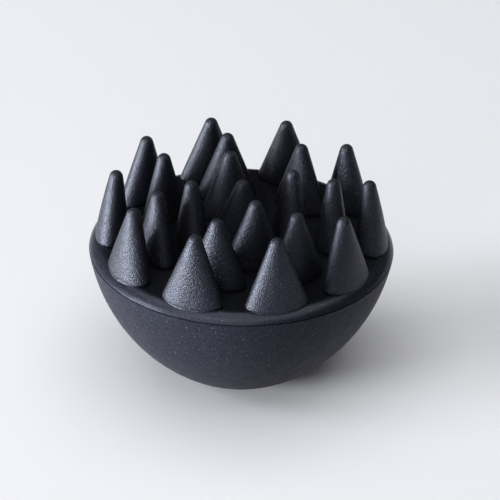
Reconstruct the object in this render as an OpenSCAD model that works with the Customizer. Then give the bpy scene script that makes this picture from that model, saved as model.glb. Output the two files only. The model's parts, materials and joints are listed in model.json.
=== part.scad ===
// Scalp massager brush: a hollow palm-grip bowl closed by a face plate,
// with soft flattened cones snapped into the plate in four rings.
// Millimetres, +Z up, origin at the centre of the flat base.

/* [Grip bowl] */
// Radius of the bowl at the seam, its widest place
seam_r = 38; // [30:0.5:50]
// Height of the seam above the flat base
bowl_h = 34.3; // [26:0.1:42]
// Radius of the arc that forms the side
side_arc_r = 46.4; // [42:0.1:60]
// Radius of the arc that rolls the side into the base
base_arc_r = 17.1; // [10:0.1:24]
// Radius of the flat that the brush rests on
base_flat_r = 8.4; // [5:0.1:14]
// Wall thickness of the bowl
wall = 2.2; // [1.6:0.1:3.2]
// Width of the locating tongue on the rim
tongue_w = 0.8; // [0.5:0.1:1.2]
// Height of the locating tongue
tongue_h = 0.7; // [0.4:0.1:1]
// Distance of the tongue's middle from the seam's edge
tongue_inset = 1.4; // [1:0.1:1.8]
// Edge break of the rim at the seam
seam_break = 0.2; // [0.1:0.05:0.4]

/* [Face plate] */
// Height of the deck above the seam
deck_rise = 2.2; // [1.5:0.1:4]
// Radius of the crowned edge of the deck
edge_r = 3.8; // [3.4:0.1:6]
// Width of the crowned edge
edge_w = 3.4; // [1.5:0.1:3.4]
// Height of the shadow gap under the crowned edge
reveal_h = 0.15; // [0.1:0.05:0.4]
// Depth of the shadow gap
reveal_d = 0.35; // [0.2:0.05:0.5]
// Thickness of the plate
plate_t = 3; // [2.4:0.1:4.5]
// Radial gap between the plate and the bowl's mouth
mouth_gap = 0.4; // [0.1:0.05:0.6]
// Gap around the tongue in its groove
tongue_gap = 0.05; // [0.02:0.01:0.15]
// Thickness of the two ring ribs under the plate
rib_t = 1.4; // [1:0.1:2]
// Depth of the ring ribs below the plate
rib_drop = 4; // [2:0.5:8]

/* [Bristles] */
// Height of the bristle tips above the seam
tip_rise = 19.75; // [14:0.05:26]
// How much shorter the centre bristle is
centre_drop = 1.3; // [0:0.1:4]
// Half width of a bristle at its root, along its ring
half_w = 7.55; // [4:0.05:8]
// Thickness of a bristle across its ring, as a share of its width
flatness = 0.515; // [0.4:0.005:1]
// Radius of the rounded tip
tip_r = 1.7; // [0.8:0.05:2.5]
// Outward belly of the two broad sides at mid height
belly = 0.2; // [0:0.05:0.5]
// Height of the upright land at the root
root_land = 0.2; // [0.1:0.05:0.6]
// Edge break around the root's underside
root_break = 0.5; // [0.2:0.05:1]
// Working gap between a bristle's root and the deck
root_gap = 0.45; // [0.3:0.05:0.8]

/* [Bristle rings] */
// Number of bristles in the outer ring
outer_n = 10; // [6:1:12]
// Distance of the outer ring's roots from the seam's edge
rim_inset = 1.6; // [1:0.1:5]
// Turn of the outer ring
outer_turn = -2.5; // [-18:0.1:18]
// Inward lean of the outer ring
outer_lean = 4.7; // [-4:0.1:8]
// Number of bristles in the middle ring
middle_n = 7; // [4:1:8]
// Radius of the middle ring, as a share of the outer ring's
middle_share = 0.695; // [0.66:0.005:0.74]
// Turn of the middle ring
middle_turn = -2.4; // [-25:0.1:25]
// Inward lean of the middle ring
middle_lean = 0.8; // [-4:0.1:6]
// Number of bristles in the inner ring
inner_n = 4; // [3:1:5]
// Radius of the inner ring, as a share of the outer ring's
inner_share = 0.384; // [0.36:0.002:0.42]
// Turn of the inner ring
inner_turn = 14.7; // [-45:0.1:45]
// Inward lean of the inner ring
inner_lean = -1.6; // [-4:0.1:4]
// Turn of the centre bristle
centre_turn = 90; // [0:1:180]

/* [Bristle necks] */
// Radius of the ball neck that a bristle rocks on
ball_r = 1.9; // [1.4:0.05:2.4]
// Radial gap between the ball neck and its bore
ball_gap = 0.03; // [0.01:0.01:0.1]
// Radius of the stem above and below the ball neck
stem_r = 1.6; // [1:0.05:2]
// Radius of the barb's shoulder
barb_r = 2.6; // [2.2:0.05:3.2]
// Radius of the barb's end
barb_end_r = 1.5; // [1:0.05:2]
// Height of the barb
barb_h = 3; // [2:0.1:5]
// Working gap between the barb's shoulder and the plate
barb_gap = 0.4; // [0.3:0.05:0.8]
// Depth that the stem runs up into the head
stem_sink = 2; // [1:0.5:4]

/* [Hidden] */
$fn = 96;
tip_fn = 24;
root_fn = 48;
arc_lap = 0.02;
shell_colour = [0.16, 0.17, 0.19];
soft_colour = [0.13, 0.14, 0.16];
mouth_r = seam_r - wall;
spigot_r = mouth_r - mouth_gap;
tongue_r = seam_r - tongue_inset;
deck_z = bowl_h + deck_rise;
under_z = deck_z - plate_t;
edge_c = [seam_r - edge_w, deck_z - edge_r];
outer_ring_r = seam_r - rim_inset - half_w * flatness;
middle_ring_r = middle_share * outer_ring_r;
inner_ring_r = inner_share * outer_ring_r;
pivot_z = deck_z - plate_t / 2;
root_z = deck_z + root_gap;
tip_z = bowl_h + tip_rise;
bore_r = ball_r + ball_gap;
barb_z = under_z - barb_gap;
rib_rings = [(inner_ring_r + middle_ring_r) / 2, (middle_ring_r + outer_ring_r) / 2];
// The base flat cuts the base arc, and the two arcs lap a little where one runs into the other
base_arc_c = [base_flat_r - sqrt(base_arc_r ^ 2 - (base_arc_r - arc_lap) ^ 2), base_arc_r - arc_lap];
rim_to_base = [seam_r, bowl_h] - base_arc_c;
rim_dist = norm(rim_to_base);
rim_dir = rim_to_base / rim_dist;
arc_dist = side_arc_r - base_arc_r + arc_lap;
along = (arc_dist ^ 2 - side_arc_r ^ 2 + rim_dist ^ 2) / (2 * rim_dist);
across = sqrt(arc_dist ^ 2 - along ^ 2);
side_arc_c = base_arc_c + along * rim_dir + across * [-rim_dir[1], rim_dir[0]];
arc_dir = (base_arc_c - side_arc_c) / arc_dist;

// Section of the bowl, drawn in by the inset
module bowl_section(inset) {
  join_z = side_arc_c[1] + (side_arc_r - inset) * arc_dir[1];
  intersection() {
    translate(side_arc_c)
      circle(side_arc_r - inset);
    union() {
      translate(base_arc_c)
        circle(base_arc_r - inset);
      square([base_arc_c[0], bowl_h]);
      translate([0, join_z])
        square([seam_r, bowl_h - join_z]);
    }
    translate([0, inset])
      square([seam_r, bowl_h - inset]);
  }
}

module grip_bowl() {
  color(shell_colour)
    rotate_extrude() {
      difference() {
        bowl_section(0);
        bowl_section(wall);
        translate([seam_r, bowl_h])
          polygon([[0, 0], [-seam_break, 0], [0, -seam_break]]);
      }
      translate([tongue_r - tongue_w / 2, bowl_h - tongue_h])
        square([tongue_w, 2 * tongue_h]);
    }
}

// Section of the plate with its spigot, its crowned flange and its ribs
module plate_section() {
  difference() {
    union() {
      translate([0, under_z])
        square([spigot_r, bowl_h - under_z]);
      translate([0, bowl_h])
        square([edge_c[0], deck_rise]);
      intersection() {
        translate(edge_c)
          circle(edge_r);
        translate([edge_c[0], bowl_h])
          square([edge_w, deck_rise]);
      }
      for (r = rib_rings)
        translate([r - rib_t / 2, under_z - rib_drop])
          square([rib_t, rib_drop + plate_t / 2]);
    }
    translate([seam_r - reveal_d, bowl_h])
      square([2 * reveal_d, reveal_h]);
    translate([tongue_r - tongue_w / 2 - tongue_gap, bowl_h - tongue_gap])
      square([tongue_w + 2 * tongue_gap, tongue_h + 2 * tongue_gap]);
  }
}

// Bore for one bristle's ball neck
module neck_bore(ring_r, turn) {
  rotate([0, 0, turn])
    translate([ring_r, 0, under_z - plate_t])
      cylinder(r = bore_r, h = 3 * plate_t);
}

module face_plate() {
  color(shell_colour)
    difference() {
      rotate_extrude()
        plate_section();
      neck_bore(0, 0);
      for (k = [0 : inner_n - 1])
        neck_bore(inner_ring_r, inner_turn + k * 360 / inner_n);
      for (k = [0 : middle_n - 1])
        neck_bore(middle_ring_r, middle_turn + k * 360 / middle_n);
      for (k = [0 : outer_n - 1])
        neck_bore(outer_ring_r, outer_turn + k * 360 / outer_n);
    }
}

// Flat slice of a bristle: an ellipse, thin along X
module bristle_slice(half_thick, half_wide) {
  scale([half_thick / half_wide, 1, 1])
    cylinder(r = half_wide, h = root_land, $fn = root_fn);
}

// Head of a bristle: from a flattened root over a slight belly to a round tip, drawn in by the lean
module bristle_head(height, lean) {
  tip_h = height - tip_r;
  draw_in = tip_h * tan(lean);
  root_t = half_w * flatness;
  hull() {
    translate([-draw_in, 0, tip_h])
      sphere(tip_r, $fn = tip_fn);
    translate([-draw_in / 2, 0, tip_h / 2])
      bristle_slice((root_t + tip_r) / 2 + belly, (half_w + tip_r) / 2);
    translate([0, 0, root_break])
      bristle_slice(root_t, half_w);
    bristle_slice(root_t - root_break, half_w - root_break);
  }
}

// One bristle at its place, with local X pointing away from the middle
module bristle(ring_r, turn, lean, drop) {
  color(soft_colour)
    rotate([0, 0, turn])
      translate([ring_r, 0, 0]) {
        translate([0, 0, root_z])
          bristle_head(tip_z - drop - root_z, lean);
        translate([0, 0, barb_z])
          cylinder(r = stem_r, h = root_z + stem_sink - barb_z);
        translate([0, 0, pivot_z])
          sphere(ball_r);
        translate([0, 0, barb_z - barb_h])
          cylinder(r1 = barb_end_r, r2 = barb_r, h = barb_h);
      }
}

module inner_bristle(k) {
  bristle(inner_ring_r, inner_turn + (k - 1) * 360 / inner_n, inner_lean, 0);
}

module middle_bristle(k) {
  bristle(middle_ring_r, middle_turn + (k - 1) * 360 / middle_n, middle_lean, 0);
}

module outer_bristle(k) {
  bristle(outer_ring_r, outer_turn + (k - 1) * 360 / outer_n, outer_lean, 0);
}

grip_bowl();
face_plate();
bristle(0, centre_turn, 0, centre_drop);  // bristle_centre
inner_bristle(1);  // bristle_inner_1
inner_bristle(2);  // bristle_inner_2
inner_bristle(3);  // bristle_inner_3
inner_bristle(4);  // bristle_inner_4
middle_bristle(1);  // bristle_middle_1
middle_bristle(2);  // bristle_middle_2
middle_bristle(3);  // bristle_middle_3
middle_bristle(4);  // bristle_middle_4
middle_bristle(5);  // bristle_middle_5
middle_bristle(6);  // bristle_middle_6
middle_bristle(7);  // bristle_middle_7
outer_bristle(1);  // bristle_outer_1
outer_bristle(2);  // bristle_outer_2
outer_bristle(3);  // bristle_outer_3
outer_bristle(4);  // bristle_outer_4
outer_bristle(5);  // bristle_outer_5
outer_bristle(6);  // bristle_outer_6
outer_bristle(7);  // bristle_outer_7
outer_bristle(8);  // bristle_outer_8
outer_bristle(9);  // bristle_outer_9
outer_bristle(10);  // bristle_outer_10
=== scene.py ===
"""Dresses the scalp massager brush: a satin bowl, its face plate and rings of grained bristles."""

import json
import logging
import math
from dataclasses import dataclass, field
from enum import Enum
from typing import Iterator

import bpy
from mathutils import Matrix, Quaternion, Vector

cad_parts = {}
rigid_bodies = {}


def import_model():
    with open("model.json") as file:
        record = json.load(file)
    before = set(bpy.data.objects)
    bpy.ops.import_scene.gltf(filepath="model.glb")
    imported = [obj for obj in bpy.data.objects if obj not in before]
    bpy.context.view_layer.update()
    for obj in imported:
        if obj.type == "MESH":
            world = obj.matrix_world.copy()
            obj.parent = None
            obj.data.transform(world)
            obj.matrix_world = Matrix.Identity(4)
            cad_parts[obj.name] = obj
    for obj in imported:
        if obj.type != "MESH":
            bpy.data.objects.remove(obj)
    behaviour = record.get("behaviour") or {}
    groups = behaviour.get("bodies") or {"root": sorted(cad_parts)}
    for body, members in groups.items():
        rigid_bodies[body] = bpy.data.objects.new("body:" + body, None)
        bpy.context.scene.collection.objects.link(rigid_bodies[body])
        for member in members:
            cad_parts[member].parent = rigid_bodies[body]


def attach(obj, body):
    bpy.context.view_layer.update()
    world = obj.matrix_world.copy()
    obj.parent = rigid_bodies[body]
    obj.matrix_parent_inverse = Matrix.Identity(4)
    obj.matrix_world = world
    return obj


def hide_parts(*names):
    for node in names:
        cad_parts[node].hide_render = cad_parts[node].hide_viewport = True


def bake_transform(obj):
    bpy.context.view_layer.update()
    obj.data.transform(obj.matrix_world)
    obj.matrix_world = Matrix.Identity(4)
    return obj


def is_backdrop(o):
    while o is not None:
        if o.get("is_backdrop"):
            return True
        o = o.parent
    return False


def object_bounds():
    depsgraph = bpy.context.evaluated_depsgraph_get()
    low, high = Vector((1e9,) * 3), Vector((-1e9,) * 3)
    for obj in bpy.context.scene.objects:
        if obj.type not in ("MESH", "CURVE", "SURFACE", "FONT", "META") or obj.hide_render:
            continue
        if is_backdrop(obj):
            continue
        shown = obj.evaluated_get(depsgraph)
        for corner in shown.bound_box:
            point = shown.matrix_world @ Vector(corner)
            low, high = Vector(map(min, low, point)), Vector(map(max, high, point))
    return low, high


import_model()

log = logging.getLogger("massager")

MM = 0.001
WELD = 1e-6  # points closer than this become one
CAD_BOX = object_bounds()

Pair = tuple[float, float]
Point = tuple[float, float, float]
Colour = tuple[float, float, float]
Socket = bpy.types.NodeSocket

# A Mix node holds its number and colour sockets side by side.
MIX_NUMBER_A, MIX_NUMBER_B, MIX_NUMBER = 2, 3, 0
MIX_COLOUR_A, MIX_COLOUR_B, MIX_COLOUR = 6, 7, 2

# Ranges, directions and sizes that several pieces or finishes share.
WHOLE = (0.0, 1.0)
FALLING = (1.0, 0.0)
LEVEL = (1.0, 1.0, 0.0)  # keeps a point's place in plan and drops its height
CLOUD_RANGE = (0.3, 0.7)  # grey values that most of a cloud pattern has
CLOUD_MM = 2.2  # clouds of higher and lower roughness
GRAIN_DETAIL = 3.0
FLECK_CORE = 0.5  # share of a fleck's radius that has its full colour
FLECK_CHOICE = 0.05  # width of the step that picks the cells with a fleck
DOWN_DEG = -90.0
UP_DEG = 90.0
SHELL_SHARP_DEG = 35.0
CUTTER_PLATES = 3  # length of a bore's cutter, in plate thicknesses


class Slot(Enum):
    """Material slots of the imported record."""

    GRIP = "grip_shell"
    FACE = "face_shell"
    BRISTLE = "bristle_soft"


class Ring(Enum):
    """Rings of bristles, named as their nodes are."""

    CENTRE = "centre"
    INNER = "inner"
    MIDDLE = "middle"
    OUTER = "outer"


def clear_selection() -> None:
    """Leaves object mode with nothing selected."""
    if bpy.context.object and bpy.context.object.mode != "OBJECT":
        bpy.ops.object.mode_set(mode="OBJECT")
    bpy.ops.object.select_all(action="DESELECT")


def pick(piece: bpy.types.Object) -> None:
    """Makes one piece the only selected and active object.

    Args:
        piece: The object to select.
    """
    clear_selection()
    piece.select_set(True)
    bpy.context.view_layer.objects.active = piece


def close_skin(piece: bpy.types.Object, sharp_deg: float) -> None:
    """Welds a piece's seams, turns its faces outwards and smooths it between sharp edges.

    Args:
        piece: The piece, in object mode or edit mode.
        sharp_deg: Edges that turn by more than this many degrees stay sharp.
    """
    pick(piece)
    bpy.ops.object.mode_set(mode="EDIT")
    bpy.ops.mesh.select_all(action="SELECT")
    bpy.ops.mesh.remove_doubles(threshold=WELD)
    bpy.ops.mesh.normals_make_consistent(inside=False)
    bpy.ops.object.mode_set(mode="OBJECT")
    bpy.ops.object.shade_smooth_by_angle(angle=math.radians(sharp_deg))


@dataclass(frozen=True)
class Fleck:
    """One size of pale fleck scattered through a plastic.

    Attributes:
        colour: Colour of the flecks.
        pitch_mm: Distance between places where one may lie.
        radius_mm: Radius of a fleck.
        share: Share of those places that hold one.
    """

    colour: Colour
    pitch_mm: float
    radius_mm: float
    share: float


@dataclass
class NodeBench:
    """The node tree of one material, with its surface shader.

    Attributes:
        name: Name of the material.
        material: The material being made.
        shader: Its surface shader.
        place: Object coordinates of each point.
    """

    name: str
    material: bpy.types.Material = field(init=False)
    shader: bpy.types.Node = field(init=False)
    place: Socket = field(init=False)

    def __post_init__(self) -> None:
        """Starts the material with its surface shader and object coordinates."""
        self.material = bpy.data.materials.new(self.name)
        self.material.use_nodes = True
        self.shader = self.material.node_tree.nodes["Principled BSDF"]
        self.place = self.add("ShaderNodeTexCoord").outputs["Object"]

    def add(self, kind: str, **values: object) -> bpy.types.Node:
        """Adds one node and sets its properties and input values.

        Args:
            kind: The node's type name.
            values: Property names, or input names with spaces as underscores.

        Returns:
            The new node.
        """
        node = self.material.node_tree.nodes.new(kind)
        for key, value in values.items():
            if hasattr(node, key):
                setattr(node, key, value)
            else:
                node.inputs[key.replace("_", " ")].default_value = value
        return node

    def link(self, source: Socket, target: Socket) -> None:
        """Joins one output to one input."""
        self.material.node_tree.links.new(source, target)

    def feed(self, name: str, value: Socket) -> None:
        """Joins a value to an input of the surface shader."""
        self.link(value, self.shader.inputs[name])

    def gloss(self, sheen: float, sheen_tint: Colour) -> None:
        """Sets the strength and the tint of the reflections."""
        self.shader.inputs["Specular IOR Level"].default_value = sheen
        self.shader.inputs["Specular Tint"].default_value = (*sheen_tint, 1.0)

    def noise(self, pitch_mm: float, detail: float) -> Socket:
        """A cloud pattern on object coordinates.

        Args:
            pitch_mm: Size of the pattern's largest lumps.
            detail: Number of finer layers.

        Returns:
            The pattern's grey value.
        """
        node = self.add("ShaderNodeTexNoise", Scale=1 / (pitch_mm * MM), Detail=detail)
        self.link(self.place, node.inputs["Vector"])
        return node.outputs["Fac"]

    def cells(self, pitch_mm: float) -> bpy.types.Node:
        """Scattered cells on object coordinates.

        Args:
            pitch_mm: Distance between neighbouring cells.

        Returns:
            The cell node, with its Distance and Color outputs.
        """
        node = self.add("ShaderNodeTexVoronoi", Scale=1 / (pitch_mm * MM))
        self.link(self.place, node.inputs["Vector"])
        return node

    def spread(self, value: Socket, source: Pair, target: Pair) -> Socket:
        """Maps a value from one range to another, held at both ends.

        Args:
            value: The value to map.
            source: The range it comes in.
            target: The range it leaves in.

        Returns:
            The mapped value.
        """
        node = self.add("ShaderNodeMapRange", clamp=True)
        ends = ("From Min", "From Max", "To Min", "To Max")
        for key, number in zip(ends, (*source, *target)):
            node.inputs[key].default_value = number
        self.link(value, node.inputs["Value"])
        return node.outputs["Result"]

    def times(self, first: Socket, second: Socket) -> Socket:
        """Multiplies two values.

        Args:
            first: One value.
            second: The other value.

        Returns:
            The product.
        """
        node = self.add("ShaderNodeMath", operation="MULTIPLY")
        self.link(first, node.inputs[0])
        self.link(second, node.inputs[1])
        return node.outputs[0]

    def tint(self, share: Socket, first: Socket | Colour, second: Colour) -> Socket:
        """Mixes two colours by a share.

        Args:
            share: 0 gives the first colour, 1 the second.
            first: A colour, or the output of an earlier mix.
            second: A colour.

        Returns:
            The mixed colour.
        """
        node = self.add("ShaderNodeMix", data_type="RGBA")
        self.link(share, node.inputs["Factor"])
        if isinstance(first, tuple):
            node.inputs[MIX_COLOUR_A].default_value = (*first, 1.0)
        else:
            self.link(first, node.inputs[MIX_COLOUR_A])
        node.inputs[MIX_COLOUR_B].default_value = (*second, 1.0)
        return node.outputs[MIX_COLOUR]

    def ease(self, share: Socket, first: Socket, second: float) -> Socket:
        """Mixes a value towards a number by a share.

        Args:
            share: 0 gives the value, 1 the number.
            first: The value.
            second: The number.

        Returns:
            The mixed value.
        """
        node = self.add("ShaderNodeMix", data_type="FLOAT")
        self.link(share, node.inputs["Factor"])
        self.link(first, node.inputs[MIX_NUMBER_A])
        node.inputs[MIX_NUMBER_B].default_value = second
        return node.outputs[MIX_NUMBER]

    def radius(self) -> Socket:
        """Measures each point's distance from the upright axis.

        Returns:
            The distance in metres.
        """
        flat = self.add("ShaderNodeVectorMath", operation="MULTIPLY")
        flat.inputs[1].default_value = LEVEL
        self.link(self.place, flat.inputs[0])
        node = self.add("ShaderNodeVectorMath", operation="LENGTH")
        self.link(flat.outputs[0], node.inputs[0])
        return node.outputs["Value"]

    def scatter(self, flecks: tuple[Fleck, ...], ground: Socket) -> Socket:
        """Strews flecks over a colour, one size after the other.

        Args:
            flecks: The sizes of fleck.
            ground: The colour that they lie in.

        Returns:
            The flecked colour.
        """
        for fleck in flecks:
            cells = self.cells(fleck.pitch_mm)
            reach = fleck.radius_mm / fleck.pitch_mm
            dots = self.spread(cells.outputs["Distance"], (FLECK_CORE * reach, reach), FALLING)
            held = (1.0 - fleck.share, 1.0 + FLECK_CHOICE - fleck.share)
            chosen = self.spread(cells.outputs["Color"], held, WHOLE)
            ground = self.tint(self.times(dots, chosen), ground, fleck.colour)
        return ground

    def bump(self, height: Socket, depth_mm: float, under: Socket | None = None) -> Socket:
        """Raises the surface by a height pattern.

        Args:
            height: The pattern, from 0 to 1.
            depth_mm: Height of the pattern's peaks.
            under: Normal of an earlier bump that this one lies on.

        Returns:
            The bumped normal.
        """
        node = self.add("ShaderNodeBump", Strength=1.0, Distance=depth_mm * MM)
        self.link(height, node.inputs["Height"])
        if under is not None:
            self.link(under, node.inputs["Normal"])
        return node.outputs["Normal"]


@dataclass(frozen=True)
class ShellFinish:
    """Satin moulded plastic with fine pale flecks in it.

    Attributes:
        name: Name of the material.
        dark: Darkest tone of the plastic.
        pale: Palest tone of the plastic.
        flecks: The flecks in it, from fine to coarse.
        rough: Lowest and highest roughness.
        grain_mm: Pitch of the fine moulded grain.
        grain_depth_mm: Depth of that grain.
        sheen: Strength of the reflections.
        sheen_tint: Tint of the reflections.
    """

    name: str
    dark: Colour
    pale: Colour
    flecks: tuple[Fleck, ...]
    rough: Pair
    grain_mm: float
    grain_depth_mm: float
    sheen: float
    sheen_tint: Colour

    def skin(self, bench: NodeBench) -> tuple[Socket, Socket]:
        """Lays the grain and the flecks.

        Args:
            bench: The material being made.

        Returns:
            The colour and the roughness.
        """
        grain = bench.noise(self.grain_mm, GRAIN_DETAIL)
        plastic = bench.tint(bench.spread(grain, CLOUD_RANGE, WHOLE), self.dark, self.pale)
        bench.feed("Normal", bench.bump(grain, self.grain_depth_mm))
        rough = bench.spread(bench.noise(CLOUD_MM, GRAIN_DETAIL), CLOUD_RANGE, self.rough)
        return bench.scatter(self.flecks, plastic), rough

    def build(self) -> bpy.types.Material:
        """Makes the material.

        Returns:
            The finished material.
        """
        bench = NodeBench(self.name)
        colour, rough = self.skin(bench)
        bench.feed("Base Color", colour)
        bench.feed("Roughness", rough)
        bench.gloss(self.sheen, self.sheen_tint)
        return bench.material


@dataclass(frozen=True)
class FaceFinish(ShellFinish):
    """The same plastic with a smooth deck inside its satin rim, darkened there by painted shade
    between the bristles.

    Attributes:
        rim_mm: Radii where the deck starts and ends to turn into the rim.
        deck_painted_shade: Dark tone painted on the deck as the shade between the bristles.
        deck_rough: Roughness of the deck.
        deck_hold: Share by which the deck's painted shade and smoothness cover the satin skin.
    """

    rim_mm: Pair
    deck_painted_shade: Colour
    deck_rough: float
    deck_hold: float

    def skin(self, bench: NodeBench) -> tuple[Socket, Socket]:
        """Lays the satin skin, smooths the deck inside the rim and darkens it with painted shade.

        Args:
            bench: The material being made.

        Returns:
            The colour and the roughness.
        """
        colour, rough = super().skin(bench)
        start, end = self.rim_mm
        # Inside the rim the deck is smoothed and darkened by painted shade.
        deck = bench.spread(bench.radius(), (start * MM, end * MM), (self.deck_hold, 0.0))
        return bench.tint(deck, colour, self.deck_painted_shade), bench.ease(deck, rough, self.deck_rough)


@dataclass(frozen=True)
class BristleFinish:
    """Soft elastomer with the grainy skin of a spark-eroded mould.

    Attributes:
        name: Name of the material.
        dark: Tone of the pits.
        pale: Tone of the grain's peaks.
        grain_mm: Pitch of the coarse grain.
        grain_depth_mm: Depth of the coarse grain.
        pit_mm: Pitch of the fine pits.
        pit_depth_mm: Depth of the fine pits.
        rough: Roughness of the pits and of the peaks.
        flecks: The flecks in it.
        sheen: Strength of the reflections.
        sheen_tint: Tint of the reflections.
        peak_range: Grey values where the grain's peaks start and are full.
        rough_range: Grey values over which the roughness changes.
    """

    name: str
    dark: Colour
    pale: Colour
    grain_mm: float
    grain_depth_mm: float
    pit_mm: float
    pit_depth_mm: float
    rough: Pair
    flecks: tuple[Fleck, ...]
    sheen: float
    sheen_tint: Colour
    peak_range: Pair = (0.42, 0.66)
    rough_range: Pair = (0.35, 0.7)

    def build(self) -> bpy.types.Material:
        """Makes the material.

        Returns:
            The finished material.
        """
        bench = NodeBench(self.name)
        grain = bench.noise(self.grain_mm, GRAIN_DETAIL)
        peaks = bench.spread(grain, self.peak_range, WHOLE)
        skin = bench.scatter(self.flecks, bench.tint(peaks, self.dark, self.pale))
        bench.feed("Base Color", skin)
        bench.feed("Roughness", bench.spread(grain, self.rough_range, self.rough))
        coarse = bench.bump(peaks, self.grain_depth_mm)
        pits = bench.cells(self.pit_mm).outputs["Distance"]
        bench.feed("Normal", bench.bump(pits, self.pit_depth_mm, coarse))
        bench.gloss(self.sheen, self.sheen_tint)
        return bench.material


@dataclass(frozen=True)
class PaperFinish:
    """Matt paper of the table sweep, with painted shade that darkens it away from the brush.

    Attributes:
        name: Name of the material.
        pale: Palest tone of the paper.
        shade: Darker tone of the paper's clouds.
        far: Tone of the paper's painted shade far from the brush.
        fade_m: Distances where the painted shade starts and ends to darken the paper.
        cloud_mm: Size of its faint clouds.
        cloud_detail: Number of finer layers in them.
        rough: Its roughness.
        sheen: Strength of the reflections.
    """

    name: str
    pale: Colour
    shade: Colour
    far: Colour
    fade_m: Pair
    cloud_mm: float = 60.0
    cloud_detail: float = 2.0
    rough: float = 0.9
    sheen: float = 0.1

    def build(self) -> bpy.types.Material:
        """Makes the material.

        Returns:
            The finished material.
        """
        bench = NodeBench(self.name)
        clouds = bench.noise(self.cloud_mm, self.cloud_detail)
        paper = bench.tint(clouds, self.pale, self.shade)
        # Painted shade darkens the paper away from the brush.
        fade = bench.spread(bench.radius(), self.fade_m, WHOLE)
        bench.feed("Base Color", bench.tint(fade, paper, self.far))
        bench.shader.inputs["Roughness"].default_value = self.rough
        bench.shader.inputs["Specular IOR Level"].default_value = self.sheen
        return bench.material


class Lathe:
    """A half section drawn by extruding one vertex in the XZ plane, then spun about Z."""

    def __init__(self, name: str, radius: float, height: float) -> None:
        """Starts the section at one point.

        Args:
            name: Name of the piece.
            radius: Distance of the first point from the axis.
            height: Height of the first point.
        """
        clear_selection()
        bpy.ops.mesh.primitive_plane_add(size=MM)
        self.piece = bpy.context.object
        self.piece.name = name
        self.piece.data.name = name
        self.pen = Vector((radius, 0.0, height))
        bpy.ops.object.mode_set(mode="EDIT")
        bpy.ops.mesh.select_mode(type="VERT")
        bpy.ops.mesh.select_all(action="SELECT")
        bpy.ops.mesh.merge(type="CENTER")
        bpy.ops.transform.translate(value=self.pen)

    def line_to(self, radius: float, height: float) -> None:
        """Extrudes a straight edge to a point.

        Args:
            radius: Distance of the point from the axis.
            height: Height of the point.
        """
        step = Vector((radius, 0.0, height)) - self.pen
        if step.length < WELD:
            return
        bpy.ops.mesh.extrude_region_move(TRANSFORM_OT_translate={"value": step})
        self.pen += step

    def arc_about(
        self, centre: Pair, radius: float, start_deg: float, end_deg: float, steps: int
    ) -> None:
        """Extrudes a round stretch.

        Args:
            centre: Radius and height of the arc's centre.
            radius: Radius of the arc.
            start_deg: Direction of the arc's start, from outwards towards up.
            end_deg: Direction of the arc's end.
            steps: Number of edges.
        """
        for k in range(steps + 1):
            turn = math.radians(start_deg + (end_deg - start_deg) * k / steps)
            self.line_to(centre[0] + radius * math.cos(turn), centre[1] + radius * math.sin(turn))

    def spin(self, steps: int, sharp_deg: float) -> bpy.types.Object:
        """Spins the section into a closed round piece.

        Args:
            steps: Number of faces round the axis.
            sharp_deg: Edges that turn by more than this stay sharp.

        Returns:
            The finished piece.
        """
        bpy.ops.mesh.select_all(action="SELECT")
        bpy.ops.mesh.spin(steps=steps, angle=math.tau, center=(0, 0, 0), axis=(0, 0, 1))
        close_skin(self.piece, sharp_deg)
        return self.piece


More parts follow.
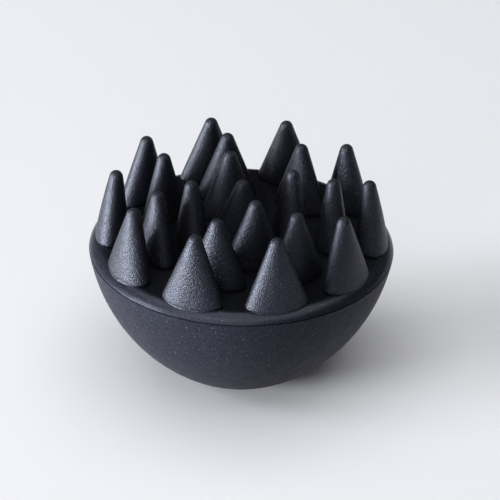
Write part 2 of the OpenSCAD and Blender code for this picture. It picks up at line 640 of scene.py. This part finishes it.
@dataclass
class GripBowl:
    """The hollow bowl that the palm holds, turned in one section.

    Attributes:
        finish: The bowl's finish.
        seam_r: Radius at the seam.
        seam_z: Height of the seam.
        side_arc_r: Radius of the side's arc.
        base_arc_r: Radius of the arc into the base.
        base_flat_r: Radius of the resting flat.
        flat_rings: Shares of the flat's radius where its inner rings of edges lie.
        wall: Wall thickness.
        edge_break: Fine break of the rim's outer edge.
        tongue_w: Width of the locating tongue.
        tongue_h: Height of the locating tongue.
        tongue_inset: Distance of the tongue's middle from the seam.
        base_steps: Number of edges along the base arc.
        side_steps: Number of edges along the side arc.
        steps: Number of faces round the bowl.
    """

    finish: ShellFinish
    seam_r: float = 38.0 * MM
    seam_z: float = 34.3 * MM
    side_arc_r: float = 46.4 * MM
    base_arc_r: float = 17.1 * MM
    base_flat_r: float = 8.4 * MM
    flat_rings: Pair = (0.35, 0.7)
    wall: float = 2.2 * MM
    edge_break: float = 0.08 * MM
    tongue_w: float = 0.8 * MM
    tongue_h: float = 0.7 * MM
    tongue_inset: float = 1.4 * MM
    base_steps: int = 28
    side_steps: int = 64
    steps: int = 256

    def side_centre(self) -> Vector:
        """Centre of the side's arc, which passes through the seam and runs into the base arc.

        Returns:
            Radius and height of the centre.
        """
        base = Vector((self.base_flat_r, self.base_arc_r))
        to_rim = Vector((self.seam_r, self.seam_z)) - base
        reach = self.side_arc_r - self.base_arc_r
        rim = to_rim.length
        along = (reach**2 - self.side_arc_r**2 + rim**2) / (2 * rim)
        across = math.sqrt(reach**2 - along**2)
        rim_dir = to_rim.normalized()
        return base + along * rim_dir + across * Vector((-rim_dir.y, rim_dir.x))

    def arcs(self, lathe: Lathe, inset: float, upwards: bool) -> None:
        """Draws the base arc and the side arc at an inset, in either direction.

        Args:
            lathe: The section being drawn.
            inset: Distance inside the outer skin.
            upwards: True from the base to the rim.
        """
        base = Vector((self.base_flat_r, self.base_arc_r))
        side = self.side_centre()
        join = math.degrees(math.atan2(base.y - side.y, base.x - side.x))
        top_z = self.seam_z - (self.edge_break if upwards else 0.0)
        top = math.degrees(math.asin((top_z - side.y) / (self.side_arc_r - inset)))
        low = (tuple(base), self.base_arc_r - inset, DOWN_DEG, join, self.base_steps)
        high = (tuple(side), self.side_arc_r - inset, join, top, self.side_steps)
        for centre, radius, start, end, steps in (low, high) if upwards else (high, low):
            lathe.arc_about(centre, radius, *((start, end) if upwards else (end, start)), steps)

    def build(self) -> bpy.types.Object:
        """Turns the bowl.

        Returns:
            The bowl, dressed and riding on the base.
        """
        lathe = Lathe("bowl_shell", 0.0, 0.0)
        for share in self.flat_rings:
            lathe.line_to(self.base_flat_r * share, 0.0)
        self.arcs(lathe, 0.0, True)
        lathe.line_to(self.seam_r - self.edge_break, self.seam_z)
        tongue_r = self.seam_r - self.tongue_inset
        for side in (1, -1):
            edge_r = tongue_r + side * self.tongue_w / 2
            heights = (self.seam_z, self.seam_z + self.tongue_h)
            for height in heights if side > 0 else reversed(heights):
                lathe.line_to(edge_r, height)
        self.arcs(lathe, self.wall, False)
        lathe.line_to(0.0, self.wall)
        piece = lathe.spin(self.steps, SHELL_SHARP_DEG)
        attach(piece, "base")
        return dress(piece, self.finish.build(), Slot.GRIP, "grip_bowl")


@dataclass
class FacePlate:
    """The round plate that closes the bowl and carries the bristles.

    Attributes:
        finish: The plate's finish, with its deck.
        seam_r: Radius at the seam.
        seam_z: Height of the seam.
        deck_rise: Height of the deck above the seam.
        edge_r: Radius of the deck's crowned edge.
        edge_w: Width of the crowned edge.
        plate_t: Thickness of the plate.
        spigot_r: Radius of the step inside the bowl's mouth.
        reveal: Depth and height of the shadow gap at the seam.
        groove: Inner radius, outer radius and depth of the tongue's groove.
        rib_rings: Radii of the two ring ribs.
        rib_t: Thickness of the ribs.
        rib_drop: Depth of the ribs.
        bore_r: Radius of a bristle's bore.
        bore_sides: Number of faces round a bore.
        crown_steps: Number of edges along the crowned edge.
        steps: Number of faces round the plate.
    """

    finish: FaceFinish
    seam_r: float = 38.0 * MM
    seam_z: float = 34.3 * MM
    deck_rise: float = 2.2 * MM
    edge_r: float = 3.8 * MM
    edge_w: float = 3.4 * MM
    plate_t: float = 3.0 * MM
    spigot_r: float = 35.4 * MM
    reveal: Pair = (0.45 * MM, 0.28 * MM)
    groove: tuple[float, float, float] = (36.15 * MM, 37.05 * MM, 0.75 * MM)
    rib_rings: Pair = (17.540 * MM, 27.554 * MM)
    rib_t: float = 1.4 * MM
    rib_drop: float = 4.0 * MM
    bore_r: float = 1.93 * MM
    bore_sides: int = 48
    crown_steps: int = 24
    steps: int = 256

    @property
    def deck_z(self) -> float:
        """Height of the deck."""
        return self.seam_z + self.deck_rise

    def build(self, bores: list[Vector]) -> bpy.types.Object:
        """Turns the plate and bores it.

        Args:
            bores: Centres of the bristles' bores.

        Returns:
            The plate, dressed and riding on the base.
        """
        under_z = self.deck_z - self.plate_t
        lathe = Lathe("plate_shell", 0.0, self.deck_z)
        crown = (self.seam_r - self.edge_w, self.deck_z - self.edge_r)
        reveal_d, reveal_h = self.reveal
        crown_end = math.degrees(math.asin((self.seam_z + reveal_h - crown[1]) / self.edge_r))
        lathe.line_to(crown[0], self.deck_z)
        lathe.arc_about(crown, self.edge_r, UP_DEG, crown_end, self.crown_steps)
        lathe.line_to(self.seam_r - reveal_d, self.seam_z + reveal_h)
        lathe.line_to(self.seam_r - reveal_d, self.seam_z)
        inner, outer, depth = self.groove
        lathe.line_to(outer, self.seam_z)
        lathe.line_to(outer, self.seam_z + depth)
        lathe.line_to(inner, self.seam_z + depth)
        lathe.line_to(inner, self.seam_z)
        lathe.line_to(self.spigot_r, self.seam_z)
        lathe.line_to(self.spigot_r, under_z)
        for ring in reversed(self.rib_rings):
            lathe.line_to(ring + self.rib_t / 2, under_z)
            lathe.line_to(ring + self.rib_t / 2, under_z - self.rib_drop)
            lathe.line_to(ring - self.rib_t / 2, under_z - self.rib_drop)
            lathe.line_to(ring - self.rib_t / 2, under_z)
        lathe.line_to(0.0, under_z)
        piece = lathe.spin(self.steps, SHELL_SHARP_DEG)
        self.bore(piece, bores)
        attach(piece, "base")
        return dress(piece, self.finish.build(), Slot.FACE, "face_plate")

    def bore(self, piece: bpy.types.Object, bores: list[Vector]) -> None:
        """Cuts the bristles' bores through the plate.

        Args:
            piece: The turned plate.
            bores: Centres of the bores.
        """
        clear_selection()
        for place in bores:
            bpy.ops.mesh.primitive_cylinder_add(
                vertices=self.bore_sides,
                radius=self.bore_r,
                depth=CUTTER_PLATES * self.plate_t,
                location=(place.x, place.y, self.deck_z - self.plate_t / 2),
            )
            bpy.context.object.name = "bore_cutter"
        clear_selection()
        cutters = [o for o in bpy.context.scene.objects if o.name.startswith("bore_cutter")]
        for cutter in cutters:
            cutter.select_set(True)
        bpy.context.view_layer.objects.active = cutters[0]
        bpy.ops.object.join()
        cutter = bpy.context.object
        pick(piece)
        cut = piece.modifiers.new("bores", "BOOLEAN")
        cut.object = cutter
        cut.operation = "DIFFERENCE"
        cut.solver = "EXACT"
        bpy.ops.object.modifier_apply(modifier=cut.name)
        pick(cutter)
        bpy.ops.object.delete()
        pick(piece)
        bpy.ops.object.shade_smooth_by_angle(angle=math.radians(SHELL_SHARP_DEG))


@dataclass
class BristleRing:
    """One ring of equal bristles: soft flattened cones on ball necks with barbed feet.

    Attributes:
        ring: Which ring it is.
        count: Number of bristles.
        ring_r: Radius of the ring at the deck.
        turn_deg: Turn of the first bristle.
        lean_deg: Inward lean of the cones.
        drop: How much shorter the cones are.
        root_z: Height of the cone's root.
        skirt_z: Height that the soft skirt reaches down to, inside the plate.
        bend_z: Heights where the bending starts and ends.
        tip_z: Height of a full cone's tip.
        half_w: Half width of the root, along the ring.
        half_t: Half thickness of the root, across the ring.
        tip_r: Radius of the tip.
        belly: Outward belly of the two broad sides.
        root_round: Inset of the rounded root edge, across and along the ring.
        round_h: Height of the rounded root edge.
        pivot_z: Height of the ball neck's middle.
        ball_r: Radius of the ball neck.
        stem_r: Radius of the stem.
        barb_z: Height of the barb's shoulder.
        barb_h: Height of the barb.
        barb_r: Radius of the barb's shoulder.
        barb_end_r: Radius of the barb's end.
        neck_steps: Number of edges along the ball neck.
        round_steps: Number of edges along the rounded root edge.
        flank_steps: Number of edges along the flank.
        tip_step_deg: Turn between the rings of the round tip.
        sides: Number of faces round a bristle.
        sharp_deg: Edges that turn by more than this stay sharp.
    """

    ring: Ring
    count: int
    ring_r: float
    turn_deg: float
    lean_deg: float
    drop: float = 0.0
    root_z: float = 36.95 * MM
    skirt_z: float = 35.6 * MM
    bend_z: Pair = (36.5 * MM, 46.5 * MM)
    tip_z: float = 54.05 * MM
    half_w: float = 7.78 * MM
    half_t: float = 3.98 * MM
    tip_r: float = 1.7 * MM
    belly: float = 0.2 * MM
    root_round: Pair = (0.2 * MM, 0.6 * MM)
    round_h: float = 0.9 * MM
    pivot_z: float = 35.0 * MM
    ball_r: float = 1.9 * MM
    stem_r: float = 1.6 * MM
    barb_z: float = 33.1 * MM
    barb_h: float = 3.0 * MM
    barb_r: float = 2.6 * MM
    barb_end_r: float = 1.5 * MM
    neck_steps: int = 8
    round_steps: int = 6
    flank_steps: int = 24
    tip_step_deg: int = 9
    sides: int = 72
    sharp_deg: float = 40.0

    def turns(self) -> list[float]:
        """Turn of each bristle in radians."""
        return [math.radians(self.turn_deg + 360.0 * k / self.count) for k in range(self.count)]

    def places(self) -> list[Vector]:
        """Centre of each bristle on the deck."""
        return [Vector((math.cos(t), math.sin(t), 0.0)) * self.ring_r for t in self.turns()]

    def node(self, k: int) -> str:
        """Name of a bristle's node and body."""
        name = f"bristle_{self.ring.value}"
        return name if self.ring is Ring.CENTRE else f"{name}_{k + 1}"

    def flank(self, half_root: float, tip_h: float) -> Pair:
        """Where a straight flank from the root meets the round tip.

        Args:
            half_root: Half size of the root in the flank's direction.
            tip_h: Height of the tip's centre above the root.

        Returns:
            The tilt of the flank's normal above the horizon, and the contact's height above
            the root.
        """
        reach = math.hypot(half_root, tip_h)
        tilt = math.acos(self.tip_r / reach) - math.atan2(tip_h, half_root)
        return tilt, tip_h + self.tip_r * math.sin(tilt)

    def half_at(self, half_root: float, tip_h: float, height: float, belly: float) -> float:
        """Half size of the cone at a height above the root, or below it in the skirt.

        Args:
            half_root: Half size of the root in this direction.
            tip_h: Height of the tip's centre above the root.
            height: Height of the section.
            belly: Outward belly of the flank in this direction.

        Returns:
            The half size there.
        """
        tilt, contact = self.flank(half_root, tip_h)
        if height >= contact:
            return math.sqrt(max(self.tip_r**2 - (height - tip_h) ** 2, 0.0))
        share = height / contact
        # The factor 4 makes the belly full halfway up the flank.
        swell = 4.0 * belly * max(share, 0.0) * (1.0 - share)
        return half_root + (self.tip_r * math.cos(tilt) - half_root) * share + swell

    def foot_sections(self) -> Iterator[Pair]:
        """Sections of the round foot from the barb's end up to the skirt's underside.

        Yields:
            Height and radius of each section.
        """
        yield self.barb_z - self.barb_h, self.barb_end_r
        yield self.barb_z, self.barb_r
        yield self.barb_z, self.stem_r
        low = -math.acos(self.stem_r / self.ball_r)
        high = math.asin((self.skirt_z - self.pivot_z) / self.ball_r)
        for k in range(self.neck_steps + 1):
            turn = low + (high - low) * k / self.neck_steps
            yield self.pivot_z + self.ball_r * math.sin(turn), self.ball_r * math.cos(turn)

    def cone_sections(self) -> Iterator[tuple[float, float, float, float]]:
        """Sections of the cone from its skirt to just below its tip.

        Yields:
            Height, half thickness, half width and inward shift of each section.
        """
        tip_h = self.tip_z - self.drop - self.root_z - self.tip_r
        lean = math.tan(math.radians(self.lean_deg))
        foot = self.bend_z[0] - self.root_z
        round_top = foot + self.round_h
        flank_h = tip_h - round_top
        flank_rings = range(1, self.flank_steps + 1)
        tip_turns = range(self.tip_step_deg, 90, self.tip_step_deg)
        heights = [self.skirt_z - self.root_z]
        heights += [foot + self.round_h * k / self.round_steps for k in range(self.round_steps + 1)]
        heights += [round_top + flank_h * k / self.flank_steps for k in flank_rings]
        heights += [tip_h + self.tip_r * math.sin(math.radians(turn)) for turn in tip_turns]
        for height in heights:
            sunk = min(max((round_top - height) / self.round_h, 0.0), 1.0)
            inset = 1.0 - math.sqrt(1.0 - sunk**2)
            yield (
                self.root_z + height,
                self.half_at(self.half_t, tip_h, height, self.belly) - inset * self.root_round[0],
                self.half_at(self.half_w, tip_h, height, 0.0) - inset * self.root_round[1],
                -lean * min(height, tip_h),
            )

    def model(self) -> bpy.types.Object:
        """Models one bristle on the Z axis by extruding ring after ring from its foot to its tip.

        Returns:
            The bristle, with its wide direction along Y.
        """
        feet = list(self.foot_sections())
        clear_selection()
        bpy.ops.mesh.primitive_circle_add(
            vertices=self.sides, radius=feet[0][1], fill_type="NGON", location=(0, 0, feet[0][0])
        )
        piece = bpy.context.object
        bpy.ops.object.transform_apply(location=True, rotation=True, scale=True)
        bpy.ops.object.mode_set(mode="EDIT")
        bpy.ops.mesh.select_all(action="SELECT")
        last = (feet[0][0], feet[0][1], feet[0][1], 0.0)
        rings = [(z, r, r, 0.0) for z, r in feet[1:]] + list(self.cone_sections())
        for now in rings:
            bpy.ops.mesh.extrude_region_move(
                TRANSFORM_OT_translate={"value": (now[3] - last[3], 0.0, now[0] - last[0])}
            )
            bpy.ops.transform.resize(
                value=(now[1] / last[1], now[2] / last[2], 1.0),
                center_override=(now[3], 0.0, now[0]),
            )
            last = now
        bpy.ops.mesh.extrude_region_move(
            TRANSFORM_OT_translate={"value": (0.0, 0.0, self.tip_z - self.drop - last[0])}
        )
        bpy.ops.mesh.merge(type="CENTER")
        close_skin(piece, self.sharp_deg)
        return piece

    def build(self, skin: bpy.types.Material) -> list[bpy.types.Object]:
        """Models the ring's bristle once and sets a copy at each place.

        Args:
            skin: Material of the bristles.

        Returns:
            The bristles, dressed and set at their places on the deck.
        """
        pattern = self.model()
        made = []
        for k, (turn, place) in enumerate(zip(self.turns(), self.places())):
            pick(pattern)
            bpy.ops.object.duplicate(linked=False)
            piece = bpy.context.object
            piece.name = f"{self.node(k)}_cone"
            piece.data.name = piece.name
            piece.rotation_euler = (0.0, 0.0, turn)
            piece.location = place
            bpy.ops.object.transform_apply(location=True, rotation=True, scale=True)
            low, high = (place + Vector((0.0, 0.0, z)) for z in self.bend_z)
            self.node(k)
            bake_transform(piece)
            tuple(low)
            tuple(high)
            made.append(dress(piece, skin, Slot.BRISTLE, self.node(k)))
        pick(pattern)
        bpy.ops.object.delete()
        return made


def dress(
    piece: bpy.types.Object, skin: bpy.types.Material, slot: Slot, node: str
) -> bpy.types.Object:
    """Gives a piece its material and the node it stands for.

    Args:
        piece: The finished piece.
        skin: Its material.
        slot: The record's slot that it takes its finish from; not used.
        node: The node that it stands for.

    Returns:
        The same piece.
    """
    piece.data.materials.clear()
    piece.data.materials.append(skin)
    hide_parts(node)
    log.info("%s: %d faces, stands for %s", piece.name, len(piece.data.polygons), node)
    return piece


@dataclass(frozen=True)
class SoftBox:
    """An oblong studio lamp.

    Attributes:
        name: Name of the lamp.
        place: Where it hangs.
        aim: The point that it faces.
        size: Its width and height.
        power: Its power in watts.
        colour: Its colour.
    """

    name: str
    place: Point
    aim: Point
    size: Pair
    power: float
    colour: Colour

    def build(self) -> None:
        """Hangs the lamp."""
        clear_selection()
        turn = (Vector(self.aim) - Vector(self.place)).to_track_quat("-Z", "Y").to_euler()
        bpy.ops.object.light_add(type="AREA", location=self.place, rotation=turn)
        lamp = bpy.context.object
        lamp.name = self.name
        lamp.data.shape = "RECTANGLE"
        lamp.data.size, lamp.data.size_y = self.size
        lamp.data.energy = self.power
        lamp.data.color = self.colour
        lamp.visible_camera = False


@dataclass
class Studio:
    """The paper sweep, the lamps and the camera.

    Attributes:
        paper: Finish of the sweep.
        lamps: The lamps.
        eye: Place of the camera.
        aim: The point that it looks at.
        roll_deg: Turn of the camera about its own axis.
        lens: Focal length in millimetres on the default sensor.
        floor_r: Radius of the flat floor.
        rise_r: Radius of the bend at the floor's rim.
        wall_h: Height of the sweep's wall.
        rise_steps: Number of edges along the bend.
        sides: Number of faces round the sweep.
        sharp_deg: Edges of the sweep that turn by more than this stay sharp.
        room: Colour of the dim room's light.
        clip: Nearest and farthest distance that the camera sees.
    """

    paper: PaperFinish
    lamps: list[SoftBox]
    eye: Point = (0.0, -0.5388, 0.3530)
    aim: Point = (0.00218, 0.0, 0.0329)
    roll_deg: float = 1.24
    lens: float = 180.4
    floor_r: float = 1.5
    rise_r: float = 0.3
    wall_h: float = 0.4
    rise_steps: int = 16
    sides: int = 96
    sharp_deg: float = 60.0
    room: Colour = (0.012, 0.012, 0.014)
    clip: Pair = (0.01, 10.0)

    def build(self) -> None:
        """Sets up the sweep, the lamps, the dim room and the camera."""
        lathe = Lathe("paper_sweep", 0.0, 0.0)
        lathe.line_to(self.floor_r, 0.0)
        bend = (self.floor_r, self.rise_r)
        lathe.arc_about(bend, self.rise_r, DOWN_DEG, 0.0, self.rise_steps)
        lathe.line_to(self.floor_r + self.rise_r, self.wall_h)
        sweep = lathe.spin(self.sides, self.sharp_deg)
        pick(sweep)
        bpy.ops.object.mode_set(mode="EDIT")
        bpy.ops.mesh.select_all(action="SELECT")
        bpy.ops.mesh.normals_make_consistent(inside=True)
        bpy.ops.object.mode_set(mode="OBJECT")
        sweep.data.materials.append(self.paper.build())
        sweep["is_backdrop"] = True
        for lamp in self.lamps:
            lamp.build()
        world = bpy.data.worlds.new("dim_room")
        world.use_nodes = True
        glow = world.node_tree.nodes["Background"]
        glow.inputs["Color"].default_value = (*self.room, 1.0)
        bpy.context.scene.world = world
        self.set_camera()

    def set_camera(self) -> None:
        """Places the camera at the photograph's angle."""
        clear_selection()
        look = (Vector(self.aim) - Vector(self.eye)).to_track_quat("-Z", "Y")
        turn = look @ Quaternion((0.0, 0.0, 1.0), math.radians(self.roll_deg))
        bpy.ops.object.camera_add(location=self.eye, rotation=turn.to_euler())
        camera = bpy.context.object
        camera.data.lens = self.lens
        camera.data.clip_start, camera.data.clip_end = self.clip
        bpy.context.scene.camera = camera
        bpy.context.scene.view_settings.view_transform = "Standard"


COOL = (0.72, 0.78, 1.0)
FINE_FLECK = Fleck(colour=(0.080, 0.085, 0.108), pitch_mm=0.46, radius_mm=0.105, share=0.50)
PALE_FLECK = Fleck(colour=(0.24, 0.25, 0.285), pitch_mm=0.95, radius_mm=0.115, share=0.35)
SOFT_FLECK = Fleck(colour=(0.24, 0.25, 0.29), pitch_mm=0.80, radius_mm=0.10, share=0.40)
GRIP = ShellFinish(
    name="grip_satin",
    dark=(0.0060, 0.0065, 0.0100),
    pale=(0.0195, 0.0207, 0.0310),
    flecks=(FINE_FLECK, PALE_FLECK),
    rough=(0.44, 0.54),
    grain_mm=0.40,
    grain_depth_mm=0.026,
    sheen=0.10,
    sheen_tint=COOL,
)
FACE = FaceFinish(
    name="face_satin",
    dark=(0.0055, 0.0060, 0.0090),
    pale=(0.0165, 0.0175, 0.0262),
    flecks=(FINE_FLECK, PALE_FLECK),
    rough=(0.26, 0.34),
    grain_mm=0.40,
    grain_depth_mm=0.022,
    sheen=0.48,
    sheen_tint=COOL,
    rim_mm=(34.4, 35.6),
    # Painted shade on the deck between the bristles.
    deck_painted_shade=(0.0022, 0.0024, 0.0034),
    deck_rough=0.26,
    deck_hold=0.92,
)
SOFT = BristleFinish(
    name="bristle_grain",
    dark=(0.0016, 0.0017, 0.0027),
    pale=(0.0150, 0.0159, 0.0236),
    grain_mm=0.35,
    grain_depth_mm=0.058,
    pit_mm=0.30,
    pit_depth_mm=0.042,
    rough=(0.50, 0.32),
    flecks=(SOFT_FLECK,),
    sheen=0.48,
    sheen_tint=COOL,
)
PAPER = PaperFinish(
    name="sweep_paper",
    pale=(0.920, 0.928, 0.965),
    shade=(0.905, 0.914, 0.952),
    # Painted shade of the paper far from the brush.
    far=(0.30, 0.30, 0.32),
    fade_m=(0.45, 1.0),
)

OUTER_R = 32.512 * MM
MIDDLE_R = 0.695 * OUTER_R
INNER_R = 0.384 * OUTER_R
RINGS = [
    BristleRing(Ring.CENTRE, count=1, ring_r=0.0, turn_deg=90.0, lean_deg=0.0, drop=1.3 * MM),
    BristleRing(Ring.INNER, count=4, ring_r=INNER_R, turn_deg=14.7, lean_deg=-1.6),
    BristleRing(Ring.MIDDLE, count=7, ring_r=MIDDLE_R, turn_deg=-2.4, lean_deg=0.8),
    BristleRing(Ring.OUTER, count=10, ring_r=OUTER_R, turn_deg=-2.5, lean_deg=4.7),
]

WHITE = (1.0, 1.0, 1.0)
DAYLIGHT = (0.98, 0.99, 1.0)
FLOOR_SPOT = (0.0, 0.0, 0.0)
BRUSH_SPOT = (0.0, 0.0, 0.03)
LAMPS = [
    SoftBox(
        name="key_left",
        place=(-1.47, -0.40, 0.09),
        aim=BRUSH_SPOT,
        size=(0.70, 0.15),
        power=88.0,
        colour=DAYLIGHT,
    ),
    SoftBox(
        name="front_fill",
        place=(-0.70, -2.30, 2.20),
        aim=FLOOR_SPOT,
        size=(3.0, 3.0),
        power=28.5,
        colour=WHITE,
    ),
    SoftBox(
        name="top_fill",
        place=(-0.05, 0.0, 2.70),
        aim=FLOOR_SPOT,
        size=(3.6, 3.6),
        power=52.0,
        colour=WHITE,
    ),
    SoftBox(
        name="strip_left",
        place=(-1.31, -0.35, 0.85),
        aim=BRUSH_SPOT,
        size=(0.50, 0.26),
        power=4.6,
        colour=DAYLIGHT,
    ),
]


def main() -> None:
    """Builds the brush and the studio."""
    logging.basicConfig(level=logging.INFO, format="%(name)s: %(message)s")
    Studio(PAPER, LAMPS).build()
    GripBowl(GRIP).build()
    FacePlate(FACE).build([place for ring in RINGS for place in ring.places()])
    skin = SOFT.build()
    for ring in RINGS:
        ring.build(skin)
    boxes = {"cad": CAD_BOX, "visual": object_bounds()}
    {key: [list(corner) for corner in box] for key, box in boxes.items()}


if __name__ == "__main__":
    main()
